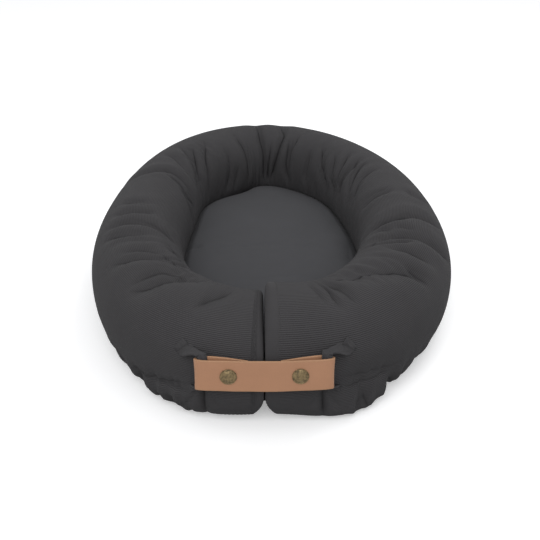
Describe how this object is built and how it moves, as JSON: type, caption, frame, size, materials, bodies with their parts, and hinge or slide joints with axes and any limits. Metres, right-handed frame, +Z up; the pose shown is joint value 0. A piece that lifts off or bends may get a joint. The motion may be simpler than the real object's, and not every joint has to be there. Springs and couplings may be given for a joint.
{
  "type": "infant lounger",
  "caption": "Oval stuffed infant lounger in dark ribbed cloth with a padded base and a bolster open at the foot, held shut by a leather strap with press studs.",
  "frame": {"origin": "on the underside of the base panel, under the middle of the bolster's oval", "axes": "+Y from the strap at the foot to the head, +Z up from the floor, +X to the right as seen from the foot"},
  "size_m": [0.4762, 0.7914, 0.1283],
  "materials": {
    "ribbed_cloth": "matt ribbed cotton jersey, charcoal",
    "stuffing": "white polyester fibre",
    "foam": "cream open-cell foam",
    "elastic": "woven elastic",
    "leather": "natural tan, matt",
    "stud_brass": "antique, brushed",
    "zip_tape": "woven tape",
    "zip_teeth": "moulded",
    "zip_metal": "dark nickel"
  },
  "bodies": {
    "lounger": {"bolster_cover_left": "ribbed_cloth", "bolster_cover_right": "ribbed_cloth", "end_panel_left": "ribbed_cloth", "end_panel_right": "ribbed_cloth", "bolster_fill": "stuffing", "base_panel": "ribbed_cloth", "base_foam": "foam", "lying_panel": "ribbed_cloth", "hem_elastic": "elastic", "strap_fold_left": "leather", "strap_fold_right": "leather", "strap_tab_left": "leather", "strap_tab_right": "leather", "press_stud_left": "stud_brass", "press_stud_right": "stud_brass", "press_post_left": "stud_brass", "press_post_right": "stud_brass", "loop_tape_left": "ribbed_cloth", "loop_tape_right": "ribbed_cloth", "zip_tape_foot": "zip_tape", "zip_tape_head": "zip_tape", "zip_teeth_foot": "zip_teeth", "zip_teeth_head": "zip_teeth", "zip_stop_open": "zip_metal", "zip_stop_closed": "zip_metal"},
    "strap": {"strap_front": "leather", "press_cap_left": "stud_brass", "press_cap_right": "stud_brass", "press_socket_left": "stud_brass", "press_socket_right": "stud_brass"},
    "zip_slider": {"zip_slider": "zip_metal"},
    "zip_pull": {"zip_pull": "zip_metal"}
  },
  "joints": [
    {"name": "strap_pull_off", "type": "slide", "parent": "lounger", "child": "strap", "axis": [0, -0.9903, 0.1392], "range_m": [0, 0.01], "deforming": ["strap_fold_left", "strap_fold_right"]},
    {"name": "zip_run", "type": "slide", "parent": "lounger", "child": "zip_slider", "axis": [-1, 0, 0], "range_m": [0, 0.2], "deforming": ["zip_teeth_foot", "zip_teeth_head"]},
    {"name": "zip_pull_swing", "type": "hinge", "parent": "zip_slider", "child": "zip_pull", "pos_m": [0.1125, -0.11, 0.00145], "axis": [0, -1, 0], "range_deg": [0, 150]}
  ]
}
